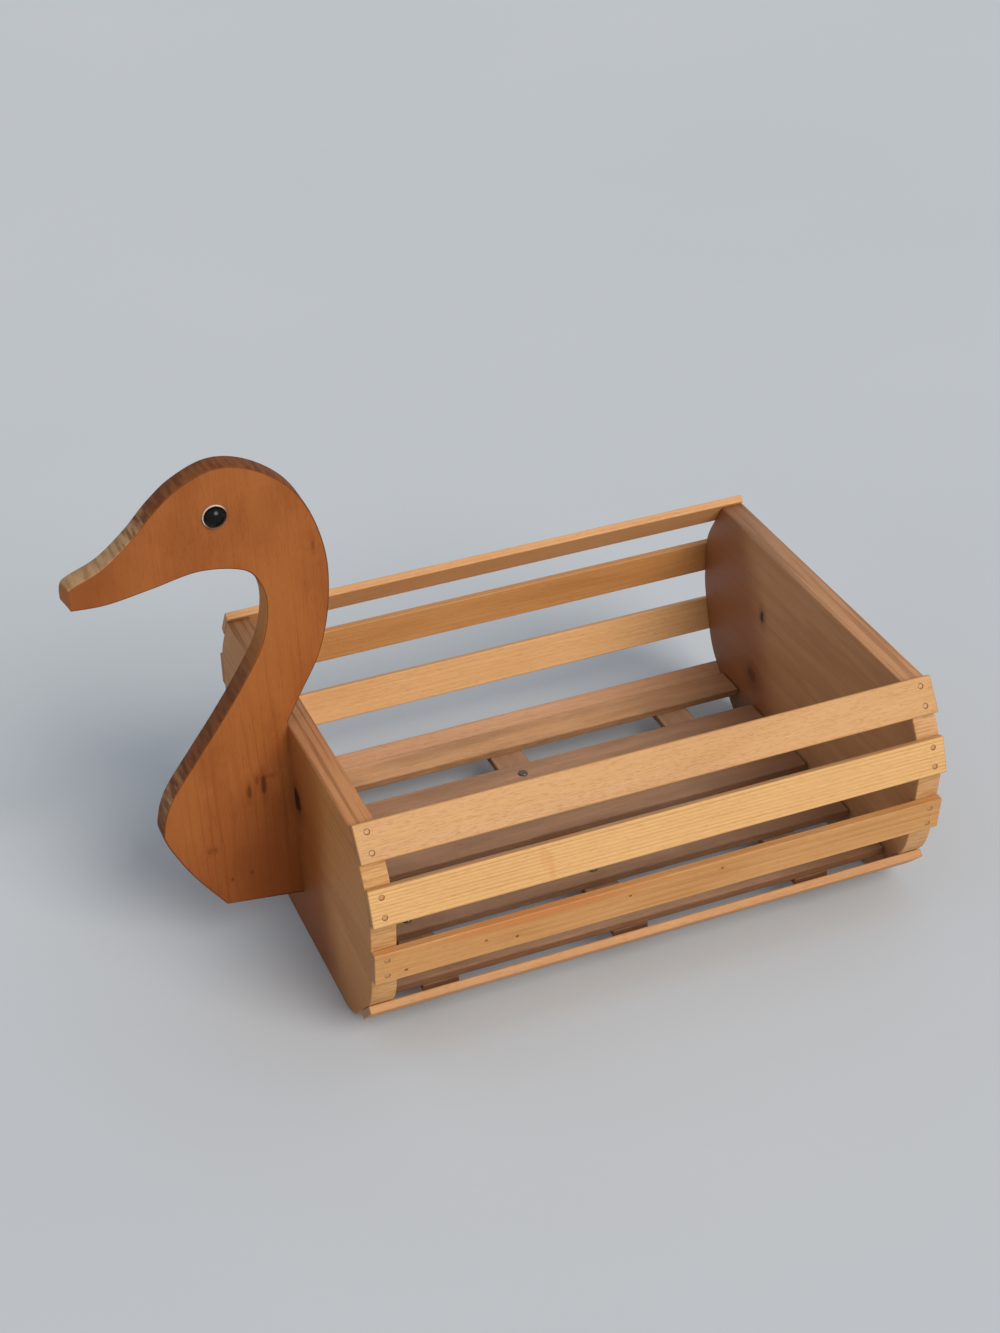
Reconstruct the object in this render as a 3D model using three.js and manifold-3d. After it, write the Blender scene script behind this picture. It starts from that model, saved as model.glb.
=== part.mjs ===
// Slat planter basket in the form of a swan. X runs along the tub, with the head toward -X, and Z is up.
// Two barrel-shaped end panels carry four nailed slats a side. A slatted floor rack lies on the lowest
// slats, and a sawn head-and-neck board is screwed edge-on to the front panel.
import * as THREE from "three";
import { mergeVertices } from "three/addons/utils/BufferGeometryUtils.js";
import Module from "manifold-3d";

const wasm = await Module();
wasm.setup();

// Driving dimensions, in millimetres and degrees.
const TUB_LENGTH = 420;
const PANEL_THICKNESS = 18;
const PANEL_HEIGHT = 181.5;
const PANEL_ARRIS = 1.2;
const FOOT_ROUND = 16;
const SLAT_WIDTH = 26.5;
const SLAT_THICKNESS = 6;
const SLAT_ARRIS = 0.8;
const SEAT_GAP = 0.3;

// Middle of each slat's seat on the panel edge: how far it tucks in from the tub's half width, how far it lies
// below the panel's top edge, and how many degrees the slat leans out toward its lower edge. The slats were
// spaced by eye, and the right-hand ones lie lower round the same curve.
const TUB_HALF_WIDTH = 164.5;
const LEFT_TOP_ROW = { tuck: 18.5, drop: 9.5, leanDegrees: 34 };
const LEFT_UPPER_ROW = { tuck: 0, drop: 46.5, leanDegrees: 17 };
const LEFT_MIDDLE_ROW = { tuck: 1.5, drop: 94.5, leanDegrees: -8 };
const RIGHT_TOP_ROW = { tuck: 19.7, drop: 8, leanDegrees: 36 };
const RIGHT_UPPER_ROW = { tuck: -2.5, drop: 58.5, leanDegrees: 4 };
// This slat keeps its share of the panel's height, so that it stays between its neighbours.
const RIGHT_MIDDLE_ROW = { tuck: 2.9, heightShare: 0.4033, leanDegrees: -15 };
// The lowest slat sits on the slope above the panel's foot, so its height is taken from the ground.
const LEFT_LOWEST_ROW = { tuck: 26, height: 31.5, leanDegrees: -45 };
const RIGHT_LOWEST_ROW = { tuck: 29, height: 28.5, leanDegrees: -48 };

const FLOOR_UNDERSIDE = 23;
const FLOOR_PITCH = 65.5;
const FLOOR_END_GAP = 1;
const BATTEN_INSET = 50;
const BATTEN_SHIFT = -10;

const NAIL_HEAD_RADIUS = 2;
const NAIL_HEAD_HEIGHT = 0.8;
const NAIL_SHANK_RADIUS = 0.9;
const NAIL_LENGTH = 19;
const NAIL_SINK = 0.2;
const NAIL_SPREAD = 14;
const FLOOR_NAIL_HEAD_RADIUS = 3.6;
const FLOOR_NAIL_HEAD_HEIGHT = 1.6;
const FLOOR_NAIL_SHANK_RADIUS = 1.2;
const FLOOR_NAIL_COVER = 1;
const FLOOR_NAIL_SHIFT = -1;
// The floor slat and the batten that each floor nail joins.
const FLOOR_NAILS = [
  { slat: 2, batten: 1 },
  { slat: 2, batten: 2 },
  { slat: 4, batten: 2 },
];
const SCREW_HEAD_RADIUS = 4.4;
const SCREW_HEAD_HEIGHT = 2.4;
const SCREW_SHANK_RADIUS = 2.1;
const SCREW_LENGTH = 45;
const SCREW_DROPS = { upper: 35, lower: 105 };
const POINT_LENGTH = 2.5;
const HEAD_CROWN_SHARE = 0.7;
const BORE_CLEARANCE = 0.2;

const BOARD_THICKNESS = 18;
const BOARD_ARRIS = 1.4;
const EYE_AHEAD = 34;
const EYE_ABOVE = 169.4;
const EYE_RADIUS = 7.4;
const EYE_BULGE = 6.2;
const EYE_RING_WIDTH = 0.9;
const EYE_RING_HEIGHT = 1.6;
const EYE_RING_GAP = 0.2;

// Outline of the head-and-neck board: how far ahead of the front panel's face and how far above its top edge.
const BEAK_TIP = [136.5, 127];
const CROWN_TO_NAPE = [
  [135.6, 135.2], [131, 140.2], [110, 149], [90, 164.5], [74, 180.5], [56, 194], [32, 202.5], [8, 197.5],
  [-15.5, 180.5], [-30, 156], [-38, 121.5], [-36, 83.5], [-27, 50], [-12, 22.5], [0, 1],
];
const BOARD_HEEL = [0, -143.5];
const BOARD_TOE = [56, -136.5];
const BREAST_TO_CHIN = [
  [77.5, -105], [92.5, -74], [93.5, -60], [86, -39], [66.5, -12.5], [47, 13], [27, 41.5], [12, 67.5],
  [6, 95], [9.5, 114.5], [20, 126], [48, 131.5], [80, 126.5], [110, 122.3], [134, 123.4],
];
// The saw left the end of the beak out of square, with its left face shorter than its right one.
const BEAK_CUT_DEGREES = 11.5;
const BEAK_CUT_RELIEF = 0.2;

const ROUND_STEPS = 12;
const EYE_ROUND_STEPS = 32;
const EYE_DOME_STEPS = 8;
const CURVE_STEPS = 8;
const SPLINE_STEPS = 4;
const ARRIS_STEPS = 2;

const MATERIALS = {
  pine: { color: 0xdfae72, roughness: 0.55, metalness: 0 },
  panel: { color: 0xb98a60, roughness: 0.6, metalness: 0 },
  board: { color: 0xa8622f, roughness: 0.45, metalness: 0 },
  bead: { color: 0x101012, roughness: 0.12, metalness: 0 },
  ring: { color: 0xe9e4da, roughness: 0.4, metalness: 0 },
  steel: { color: 0x8d8f92, roughness: 0.5, metalness: 0.8 },
};

// Rows from the top of the tub to its foot, each as the middle of its seat in the panel's plane.
function seatRow(row) {
  const inPanel = row.heightShare ? PANEL_HEIGHT * row.heightShare : PANEL_HEIGHT - row.drop;
  return {
    out: TUB_HALF_WIDTH - row.tuck,
    height: row.height ?? inPanel,
    lean: THREE.MathUtils.degToRad(row.leanDegrees),
  };
}
const SIDE_ROWS = {
  left: [LEFT_TOP_ROW, LEFT_UPPER_ROW, LEFT_MIDDLE_ROW, LEFT_LOWEST_ROW].map(seatRow),
  right: [RIGHT_TOP_ROW, RIGHT_UPPER_ROW, RIGHT_MIDDLE_ROW, RIGHT_LOWEST_ROW].map(seatRow),
};

// Takes a section drawn across the tub, as (y, z), and its depth to X.
const SECTION_TO_TUB = new THREE.Matrix4().makeBasis(
  new THREE.Vector3(0, 1, 0),
  new THREE.Vector3(0, 0, 1),
  new THREE.Vector3(1, 0, 0),
);

// A row is placed as a right-hand one, and the left side is then turned half round about the tub's middle.
const SIDE_FRAMES = {
  left: new THREE.Matrix4().makeRotationZ(Math.PI).setPosition(TUB_LENGTH, 0, 0),
  right: new THREE.Matrix4(),
};

const planter = new THREE.Group();
planter.name = "slat_planter_basket";

function addPiece(name, geometry, finish, frame = new THREE.Matrix4()) {
  const mesh = new THREE.Mesh(geometry, new THREE.MeshStandardMaterial(MATERIALS[finish]));
  mesh.name = name;
  mesh.applyMatrix4(frame);
  planter.add(mesh);
}

// Closed solid from a geometry, with shared corners merged and collapsed triangles left out.
function solidFrom(geometry, frame = new THREE.Matrix4()) {
  const bare = geometry.clone().applyMatrix4(frame);
  bare.deleteAttribute("normal");
  bare.deleteAttribute("uv");
  const merged = mergeVertices(bare);
  const index = merged.index.array;
  const corners = [];
  for (let i = 0; i < index.length; i += 3) {
    const [a, b, c] = index.slice(i, i + 3);
    if (a !== b && b !== c && c !== a) corners.push(a, b, c);
  }
  return new wasm.Manifold(
    new wasm.Mesh({
      numProp: 3,
      vertProperties: new Float32Array(merged.attributes.position.array),
      triVerts: new Uint32Array(corners),
    }),
  );
}

// A blank with holes cut in it.
function bored(blank, cutters) {
  const solid = cutters.reduce((left, cutter) => left.subtract(cutter), solidFrom(blank));
  const mesh = solid.getMesh();
  const geometry = new THREE.BufferGeometry();
  geometry.setAttribute("position", new THREE.BufferAttribute(mesh.vertProperties, mesh.numProp));
  geometry.setIndex(new THREE.BufferAttribute(mesh.triVerts, 1));
  geometry.computeVertexNormals();
  return geometry;
}

function turned(profile, steps = ROUND_STEPS) {
  const points = profile.map(([radius, along]) => new THREE.Vector2(radius, along));
  return new THREE.LatheGeometry(points, steps);
}

// A nail or screw along Y: its head stands up from 0 and its point is below.
function fastening(headRadius, headHeight, shankRadius, length) {
  return turned([
    [0, -length],
    [shankRadius, POINT_LENGTH - length],
    [shankRadius, 0],
    [headRadius, 0],
    [headRadius, headHeight / 2],
    [headRadius * HEAD_CROWN_SHARE, headHeight],
    [0, headHeight],
  ]);
}

// The hole for a fastening, with a mouth as wide as its head if the head is sunk into the wood.
function boreFor(shankRadius, length, mouthRadius = shankRadius) {
  const foot = -length - BORE_CLEARANCE;
  const shank = shankRadius + BORE_CLEARANCE;
  const mouth = mouthRadius + BORE_CLEARANCE;
  const shaft = [[0, foot], [shank, foot]];
  const step = mouth > shank ? [[shank, -BORE_CLEARANCE], [mouth, -BORE_CLEARANCE]] : [];
  return turned([...shaft, ...step, [mouth, SLAT_THICKNESS], [0, SLAT_THICKNESS]]);
}

// A slat with eased edges: it runs along X from 0, its thickness is along Y and its width along Z.
function slatBlank(length) {
  const face = SLAT_THICKNESS / 2;
  const edge = SLAT_WIDTH / 2;
  const section = new THREE.Shape();
  section.moveTo(face - SLAT_ARRIS, -edge);
  section.quadraticCurveTo(face, -edge, face, SLAT_ARRIS - edge);
  section.lineTo(face, edge - SLAT_ARRIS);
  section.quadraticCurveTo(face, edge, face - SLAT_ARRIS, edge);
  section.lineTo(SLAT_ARRIS - face, edge);
  section.quadraticCurveTo(-face, edge, -face, edge - SLAT_ARRIS);
  section.lineTo(-face, SLAT_ARRIS - edge);
  section.quadraticCurveTo(-face, -edge, SLAT_ARRIS - face, -edge);
  const blank = new THREE.ExtrudeGeometry(section, {
    depth: length,
    bevelEnabled: false,
    curveSegments: ARRIS_STEPS,
  });
  return blank.applyMatrix4(SECTION_TO_TUB);
}

// Frame of a right-hand slat on its seat: Y points out of the tub and Z up the slat's width.
function slatFrame(row) {
  const reach = SEAT_GAP + SLAT_THICKNESS / 2;
  const out = row.out + reach * Math.cos(row.lean);
  const height = row.height + reach * Math.sin(row.lean);
  return new THREE.Matrix4().makeRotationX(row.lean).setPosition(0, out, height);
}

// Nail places in a slat's own frame: two at each end, over the middle of the panel's thickness.
function nailPlaces(side) {
  const inset = PANEL_THICKNESS / 2;
  const fromLeft = { front: TUB_LENGTH - inset, rear: inset };
  const fromRight = { front: inset, rear: TUB_LENGTH - inset };
  const seat = SLAT_THICKNESS / 2 - NAIL_SINK - NAIL_HEAD_HEIGHT;
  const levels = { upper: NAIL_SPREAD / 2, lower: -NAIL_SPREAD / 2 };
  const places = [];
  for (const [end, along] of Object.entries(side === "left" ? fromLeft : fromRight)) {
    for (const [level, across] of Object.entries(levels)) {
      places.push({ end, level, frame: new THREE.Matrix4().makeTranslation(along, seat, across) });
    }
  }
  return places;
}

// Point on a row's seat line, so far down the slat's width from the middle of the seat.
function onSeat(row, down) {
  return new THREE.Vector2(row.out + down * Math.sin(row.lean), row.height - down * Math.cos(row.lean));
}

function seatAtHeight(row, height) {
  return onSeat(row, (row.height - height) / Math.cos(row.lean));
}

// Where the seat lines of two neighbouring rows cross.
function seatCrossing(upper, lower) {
  const base = (row) => row.out + row.height * Math.tan(row.lean);
  const spread = Math.tan(upper.lean) - Math.tan(lower.lean);
  return seatAtHeight(upper, (base(upper) - base(lower)) / spread);
}

// Half of an end panel's outline, drawn to the right, from the middle of its foot to the middle of its top edge.
// It is flat under each slat and curves from seat to seat.
function panelHalf(rows) {
  const half = new THREE.Path();
  const lowestRow = rows[rows.length - 1];
  const heel = seatAtHeight(lowestRow, 0);
  const slope = onSeat(lowestRow, -FOOT_ROUND).sub(onSeat(lowestRow, 0));
  half.moveTo(0, 0);
  half.lineTo(heel.x - FOOT_ROUND, 0);
  half.quadraticCurveTo(heel.x, heel.y, heel.x + slope.x, heel.y + slope.y);
  for (let level = rows.length - 1; level >= 0; level -= 1) {
    const row = rows[level];
    const lower = onSeat(row, SLAT_WIDTH / 2);
    if (row === lowestRow) {
      half.lineTo(lower.x, lower.y);
    } else {
      const bend = seatCrossing(row, rows[level + 1]);
      half.quadraticCurveTo(bend.x, bend.y, lower.x, lower.y);
    }
    const upper = level === 0 ? seatAtHeight(row, PANEL_HEIGHT) : onSeat(row, -SLAT_WIDTH / 2);
    half.lineTo(upper.x, upper.y);
  }
  half.lineTo(0, PANEL_HEIGHT);
  return half.getPoints(CURVE_STEPS);
}

// A board sawn to an outline, with rounded arrises on both faces. It is centred on its thickness.
function sawnBoard(outline, thickness, arris, curveSegments) {
  const board = new THREE.ExtrudeGeometry(outline, {
    depth: thickness - 2 * arris,
    bevelThickness: arris,
    bevelSize: arris,
    bevelOffset: -arris,
    bevelSegments: ARRIS_STEPS,
    curveSegments,
  });
  return board.translate(0, 0, arris - thickness / 2);
}

function swanOutline() {
  const place = ([ahead, above]) => new THREE.Vector2(-ahead, above);
  const tip = place(BEAK_TIP);
  const chin = place(BREAST_TO_CHIN[BREAST_TO_CHIN.length - 1]);
  const heel = place(BOARD_HEEL);
  const toe = place(BOARD_TOE);
  const outline = new THREE.Shape();
  outline.moveTo(tip.x, tip.y);
  outline.splineThru(CROWN_TO_NAPE.map(place));
  outline.lineTo(heel.x, heel.y);
  outline.lineTo(toe.x, toe.y);
  outline.splineThru(BREAST_TO_CHIN.map(place));
  outline.quadraticCurveTo(tip.x, chin.y, tip.x, tip.y);
  return outline;
}

// Side slats with their nails. The nail holes run on into the edges of the end panels.
const sideNail = fastening(NAIL_HEAD_RADIUS, NAIL_HEAD_HEIGHT, NAIL_SHANK_RADIUS, NAIL_LENGTH);
const sideBore = boreFor(NAIL_SHANK_RADIUS, NAIL_LENGTH, NAIL_HEAD_RADIUS);
const panelCutters = { front: [], rear: [] };
for (const [side, sideFrame] of Object.entries(SIDE_FRAMES)) {
  const places = nailPlaces(side);
  const slat = bored(slatBlank(TUB_LENGTH), places.map((place) => solidFrom(sideBore, place.frame)));
  SIDE_ROWS[side].forEach((row, level) => {
    const frame = sideFrame.clone().multiply(slatFrame(row));
    const slatName = `${side}_slat_${level + 1}`;
    addPiece(slatName, slat, "pine", frame);
    for (const place of places) {
      const nailFrame = frame.clone().multiply(place.frame);
      addPiece(`${slatName}_nail_${place.end}_${place.level}`, sideNail, "steel", nailFrame);
      panelCutters[place.end].push(solidFrom(sideBore, nailFrame));
    }
  });
}

// Screws from inside the tub, through the front panel and into the back edge of the swan board.
const boardScrew = fastening(SCREW_HEAD_RADIUS, SCREW_HEAD_HEIGHT, SCREW_SHANK_RADIUS, SCREW_LENGTH);
const screwBore = boreFor(SCREW_SHANK_RADIUS, SCREW_LENGTH);
const boardCutters = [];
for (const [name, drop] of Object.entries(SCREW_DROPS)) {
  const frame = new THREE.Matrix4().makeRotationZ(-Math.PI / 2);
  frame.setPosition(PANEL_THICKNESS, 0, PANEL_HEIGHT - drop);
  addPiece(`board_screw_${name}`, boardScrew, "steel", frame);
  panelCutters.front.push(solidFrom(screwBore, frame));
  boardCutters.push(solidFrom(screwBore, frame));
}

// End panels.
const rightHalf = panelHalf(SIDE_ROWS.right);
const leftHalf = panelHalf(SIDE_ROWS.left).slice(1, -1).reverse();
leftHalf.forEach((point) => point.setX(-point.x));
const panelOutline = new THREE.Shape([...rightHalf, ...leftHalf]);
const panelMiddles = { front: PANEL_THICKNESS / 2, rear: TUB_LENGTH - PANEL_THICKNESS / 2 };
for (const [end, middle] of Object.entries(panelMiddles)) {
  const blank = sawnBoard(panelOutline, PANEL_THICKNESS, PANEL_ARRIS, CURVE_STEPS);
  blank.applyMatrix4(SECTION_TO_TUB).translate(middle, 0, 0);
  addPiece(`${end}_panel`, bored(blank, panelCutters[end]), "panel");
}

// Block that takes off the end of the beak. Its face turns about the arris of the board's right side.
function beakCutter() {
  const size = 4 * BOARD_THICKNESS;
  const block = new THREE.BoxGeometry(size, size, size).translate(-size / 2, 0, 0);
  block.rotateZ(THREE.MathUtils.degToRad(BEAK_CUT_DEGREES));
  const [ahead, above] = BEAK_TIP;
  return block.translate(BEAK_CUT_RELIEF - ahead, BOARD_THICKNESS / 2 - BOARD_ARRIS, PANEL_HEIGHT + above);
}

// Head-and-neck board, upright on the tub's middle plane.
boardCutters.push(solidFrom(beakCutter()));
const swanBlank = sawnBoard(swanOutline(), BOARD_THICKNESS, BOARD_ARRIS, SPLINE_STEPS);
swanBlank.rotateX(Math.PI / 2).translate(0, 0, PANEL_HEIGHT);
const swanBoard = bored(swanBlank, boardCutters);
addPiece("swan_board", swanBoard, "board");

// Bead eyes, each in a pale ring, on both faces of the head.
const domeProfile = [[0, 0]];
for (let step = 0; step <= EYE_DOME_STEPS; step += 1) {
  const angle = (step / EYE_DOME_STEPS) * (Math.PI / 2);
  const radius = step === EYE_DOME_STEPS ? 0 : EYE_RADIUS * Math.cos(angle);
  domeProfile.push([radius, EYE_BULGE * Math.sin(angle)]);
}
const ringInner = EYE_RADIUS + EYE_RING_GAP;
const ringProfile = [
  [ringInner, 0],
  [ringInner + EYE_RING_WIDTH, 0],
  [ringInner + EYE_RING_WIDTH, EYE_RING_HEIGHT / 2],
  [ringInner + EYE_RING_WIDTH / 2, EYE_RING_HEIGHT],
  [ringInner, EYE_RING_HEIGHT / 2],
  [ringInner, 0],
];
for (const [side, turn, face] of [["left", Math.PI, -1], ["right", 0, 1]]) {
  const frame = new THREE.Matrix4().makeRotationZ(turn);
  frame.setPosition(-EYE_AHEAD, (face * BOARD_THICKNESS) / 2, PANEL_HEIGHT + EYE_ABOVE);
  addPiece(`${side}_eye`, turned(domeProfile, EYE_ROUND_STEPS), "bead", frame);
  addPiece(`${side}_eye_ring`, turned(ringProfile, EYE_ROUND_STEPS), "ring", frame);
}

// Floor rack: lengthwise slats on three cross battens, whose ends reach down to the lowest side slats.
const [battenLeft, battenRight] = [SIDE_ROWS.left, SIDE_ROWS.right].map(
  (rows) => seatAtHeight(rows[rows.length - 1], FLOOR_UNDERSIDE).x,
);
const battenTop = FLOOR_UNDERSIDE + SLAT_THICKNESS;
const floorTop = battenTop + SLAT_THICKNESS;
const floorLength = TUB_LENGTH - 2 * PANEL_THICKNESS - 2 * FLOOR_END_GAP;
const floorNailLength = 2 * SLAT_THICKNESS - FLOOR_NAIL_COVER;
const floorNail = fastening(
  FLOOR_NAIL_HEAD_RADIUS,
  FLOOR_NAIL_HEAD_HEIGHT,
  FLOOR_NAIL_SHANK_RADIUS,
  floorNailLength,
);
const floorBore = boreFor(FLOOR_NAIL_SHANK_RADIUS, floorNailLength);
const edgeLines = { left: SLAT_WIDTH / 2 - battenLeft, right: battenRight - SLAT_WIDTH / 2 };
const slatLines = [edgeLines.left, -FLOOR_PITCH, 0, FLOOR_PITCH, edgeLines.right];
const firstBatten = PANEL_THICKNESS + BATTEN_INSET + BATTEN_SHIFT;
const lastBatten = TUB_LENGTH - PANEL_THICKNESS - BATTEN_INSET + BATTEN_SHIFT;
const battenLines = [firstBatten, (firstBatten + lastBatten) / 2, lastBatten];
const faceUp = new THREE.Matrix4().makeRotationX(Math.PI / 2);
const floorNailFrames = FLOOR_NAILS.map(({ slat, batten }) =>
  faceUp.clone().setPosition(battenLines[batten - 1] + FLOOR_NAIL_SHIFT, slatLines[slat - 1], floorTop),
);
const floorCutters = floorNailFrames.map((frame) => solidFrom(floorBore, frame));
slatLines.forEach((across, place) => {
  const blank = slatBlank(floorLength).applyMatrix4(faceUp);
  blank.translate(PANEL_THICKNESS + FLOOR_END_GAP, across, battenTop + SLAT_THICKNESS / 2);
  addPiece(`floor_slat_${place + 1}`, bored(blank, floorCutters), "pine");
});
battenLines.forEach((along, place) => {
  const blank = slatBlank(battenLeft + battenRight).applyMatrix4(faceUp).rotateZ(Math.PI / 2);
  blank.translate(along, -battenLeft, FLOOR_UNDERSIDE + SLAT_THICKNESS / 2);
  addPiece(`floor_batten_${place + 1}`, bored(blank, floorCutters), "pine");
});
floorNailFrames.forEach((frame, place) => addPiece(`floor_nail_${place + 1}`, floorNail, "steel", frame));

// The origin is on the ground, under the middle of the whole length from beak to rear panel.
swanBoard.computeBoundingBox();
planter.position.x = -(swanBoard.boundingBox.min.x + TUB_LENGTH) / 2;

export default planter;
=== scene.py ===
# %% [markdown]
# # A slat planter basket in the form of a swan
# The real thing is a small garden planter: a barrel-sided tub of thin pine slats, nailed round two end
# boards, with a sawn swan's head and neck fixed to the front board. Everything on it is wood, apart from
# the nails, two screws and the eyes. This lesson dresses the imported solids: each wooden piece is made
# again with eased edges and a grain that runs through its whole thickness, as in a real board.

# %% Load the solids
import math

import bmesh
import bpy
from mathutils import Matrix, Vector


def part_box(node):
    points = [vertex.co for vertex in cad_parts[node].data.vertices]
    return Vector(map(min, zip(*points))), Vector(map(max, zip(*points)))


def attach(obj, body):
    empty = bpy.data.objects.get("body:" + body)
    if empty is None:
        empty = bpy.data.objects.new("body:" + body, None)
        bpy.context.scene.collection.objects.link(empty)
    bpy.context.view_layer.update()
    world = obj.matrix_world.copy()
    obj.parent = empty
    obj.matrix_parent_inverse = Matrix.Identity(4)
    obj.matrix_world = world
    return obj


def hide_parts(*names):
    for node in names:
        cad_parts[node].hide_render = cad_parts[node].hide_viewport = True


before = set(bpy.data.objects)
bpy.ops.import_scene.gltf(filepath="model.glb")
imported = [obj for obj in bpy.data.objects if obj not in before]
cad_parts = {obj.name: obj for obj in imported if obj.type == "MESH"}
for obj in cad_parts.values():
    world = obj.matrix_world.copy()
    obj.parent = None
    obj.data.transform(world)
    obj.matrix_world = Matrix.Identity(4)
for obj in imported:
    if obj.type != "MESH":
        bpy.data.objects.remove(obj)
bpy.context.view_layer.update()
MM = 0.001

# %% [markdown]
# ## The camera
# The view comes first, because every finish is judged through it. The photograph looks down on the planter
# from in front of its left side. A camera can be aimed with a tracking constraint, but the photographer
# tilted the camera a little, so here its three axes are written out from azimuth, elevation and roll.

# %% Camera at the photograph's angle
CAMERA_PLACE = Vector((-0.4739, -1.3059, 1.0641))
CAMERA_AZIMUTH = math.radians(-20.62)
CAMERA_ELEVATION = math.radians(32.35)
CAMERA_ROLL = math.radians(-2.40)
FOCAL_PIXELS = 2348.7
IMAGE_HEIGHT = 1333
SENSOR_SIZE = 36.0
VIEW_LIMIT = 60.0


def new_object(name, data):
    made = bpy.data.objects.new(name, data)
    bpy.context.scene.collection.objects.link(made)
    return made


camera_data = bpy.data.cameras.new("photo_camera")
camera_data.sensor_width = SENSOR_SIZE
camera_data.lens = SENSOR_SIZE * FOCAL_PIXELS / IMAGE_HEIGHT
camera_data.clip_end = VIEW_LIMIT
camera = new_object("photo_camera", camera_data)
bpy.context.scene.camera = camera

away = Vector((
    math.sin(CAMERA_AZIMUTH) * math.cos(CAMERA_ELEVATION),
    -math.cos(CAMERA_AZIMUTH) * math.cos(CAMERA_ELEVATION),
    math.sin(CAMERA_ELEVATION),
))
level = Vector((math.cos(CAMERA_AZIMUTH), math.sin(CAMERA_AZIMUTH), 0.0))
upward = away.cross(level)
side_axis = level * math.cos(CAMERA_ROLL) + upward * math.sin(CAMERA_ROLL)
up_axis = upward * math.cos(CAMERA_ROLL) - level * math.sin(CAMERA_ROLL)
aim = Matrix((side_axis, up_axis, away)).transposed().to_4x4()
camera.matrix_world = Matrix.Translation(CAMERA_PLACE) @ aim
print("lens:", round(camera_data.lens, 1), "mm")

# %% [markdown]
# ## Node helpers
# Shader trees are long to write one link at a time. This small class adds a node, fills its inputs with
# numbers or with other nodes' outputs, and hands back the output, so a shader reads like a formula. Lengths
# in the shaders are in metres, as in the scene.


# %% A short way to write node trees
MIX_FACTOR, MIX_FIRST, MIX_SECOND, MIX_RESULT = 0, 6, 7, 2


class Graph:
    def __init__(self, tree):
        self.tree = tree

    def node(self, kind, inputs, **settings):
        made = self.tree.nodes.new(kind)
        for name, value in settings.items():
            setattr(made, name, value)
        for key, value in inputs.items():
            self.fill(made.inputs[key], value)
        return made

    def fill(self, socket, value):
        if isinstance(value, bpy.types.NodeSocket):
            self.tree.links.new(value, socket)
        else:
            socket.default_value = value

    def math(self, operation, first, second=0.0):
        made = self.node("ShaderNodeMath", {0: first, 1: second}, operation=operation)
        return made.outputs[0]

    def plus(self, first, second):
        return self.math("ADD", first, second)

    def minus(self, first, second):
        return self.math("SUBTRACT", first, second)

    def times(self, first, second):
        return self.math("MULTIPLY", first, second)

    def vector(self, operation, first, second=(0.0, 0.0, 0.0)):
        made = self.node("ShaderNodeVectorMath", {0: first, 1: second}, operation=operation)
        return made.outputs["Value" if operation in ("LENGTH", "DOT_PRODUCT") else "Vector"]

    def ease(self, value, start, end, at_start=0.0, at_end=1.0):
        inputs = {"Value": value, "From Min": start, "From Max": end, "To Min": at_start, "To Max": at_end}
        return self.node("ShaderNodeMapRange", inputs, interpolation_type="SMOOTHSTEP").outputs["Result"]

    def noise(self, vector, stretch, detail=2.0):
        inputs = {"Vector": self.vector("MULTIPLY", vector, stretch), "Scale": 1.0, "Detail": detail}
        return self.node("ShaderNodeTexNoise", inputs).outputs["Fac"]

    def patches(self, vector, stretch, low, high, detail):
        """A mask of soft patches: nothing where the noise is under low, and full where it is over high."""
        return self.ease(self.noise(vector, stretch, detail), low, high)

    def mix(self, factor, first, second, blend="MIX"):
        inputs = {MIX_FACTOR: factor, MIX_FIRST: first, MIX_SECOND: second}
        made = self.node("ShaderNodeMix", inputs, data_type="RGBA", blend_type=blend)
        return made.outputs[MIX_RESULT]

    def tint(self, colour, mask, over, share):
        """A colour with another one laid over it where the mask is, up to the given share."""
        return self.mix(self.times(mask, share), colour, over)

    def parts(self, vector):
        return self.node("ShaderNodeSeparateXYZ", {"Vector": vector}).outputs

    def join(self, x, y, z):
        return self.node("ShaderNodeCombineXYZ", {"X": x, "Y": y, "Z": z}).outputs["Vector"]


SOCKET_KINDS = {"number": "NodeSocketFloat", "vector": "NodeSocketVector", "colour": "NodeSocketColor"}


def new_group(name, inputs, outputs):
    tree = bpy.data.node_groups.new(name, "ShaderNodeTree")
    for label, kind in inputs.items():
        tree.interface.new_socket(label, in_out="INPUT", socket_type=SOCKET_KINDS[kind])
    for label, kind in outputs.items():
        tree.interface.new_socket(label, in_out="OUTPUT", socket_type=SOCKET_KINDS[kind])
    return tree, Graph(tree), tree.nodes.new("NodeGroupInput").outputs


def close_group(tree, results):
    last = tree.nodes.new("NodeGroupOutput")
    for label, value in results.items():
        tree.links.new(value, last.inputs[label])
    print("node group:", tree.name, "nodes:", len(tree.nodes))


def place_group(graph, tree, inputs):
    return graph.node("ShaderNodeGroup", inputs, node_tree=tree).outputs


def tone(red, green, blue):
    """A colour as it looks on screen, 0 to 255, as the linear value that a shader takes."""
    def linear(value):
        share = value / 255
        return share / 12.92 if share <= 0.04045 else ((share + 0.055) / 1.055) ** 2.4
    return (linear(red), linear(green), linear(blue), 1.0)


# %% [markdown]
# ## Sawn timber
# A board's grain is a slice through the tree's growth rings. A flat picture of grain shows its seam at
# every edge, so this group works in three dimensions: it measures the distance to a pith line along X,
# turns it into rings with a pale early side and a dark late side, and adds fibre streaks, pores and slow
# blotches.

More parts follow.
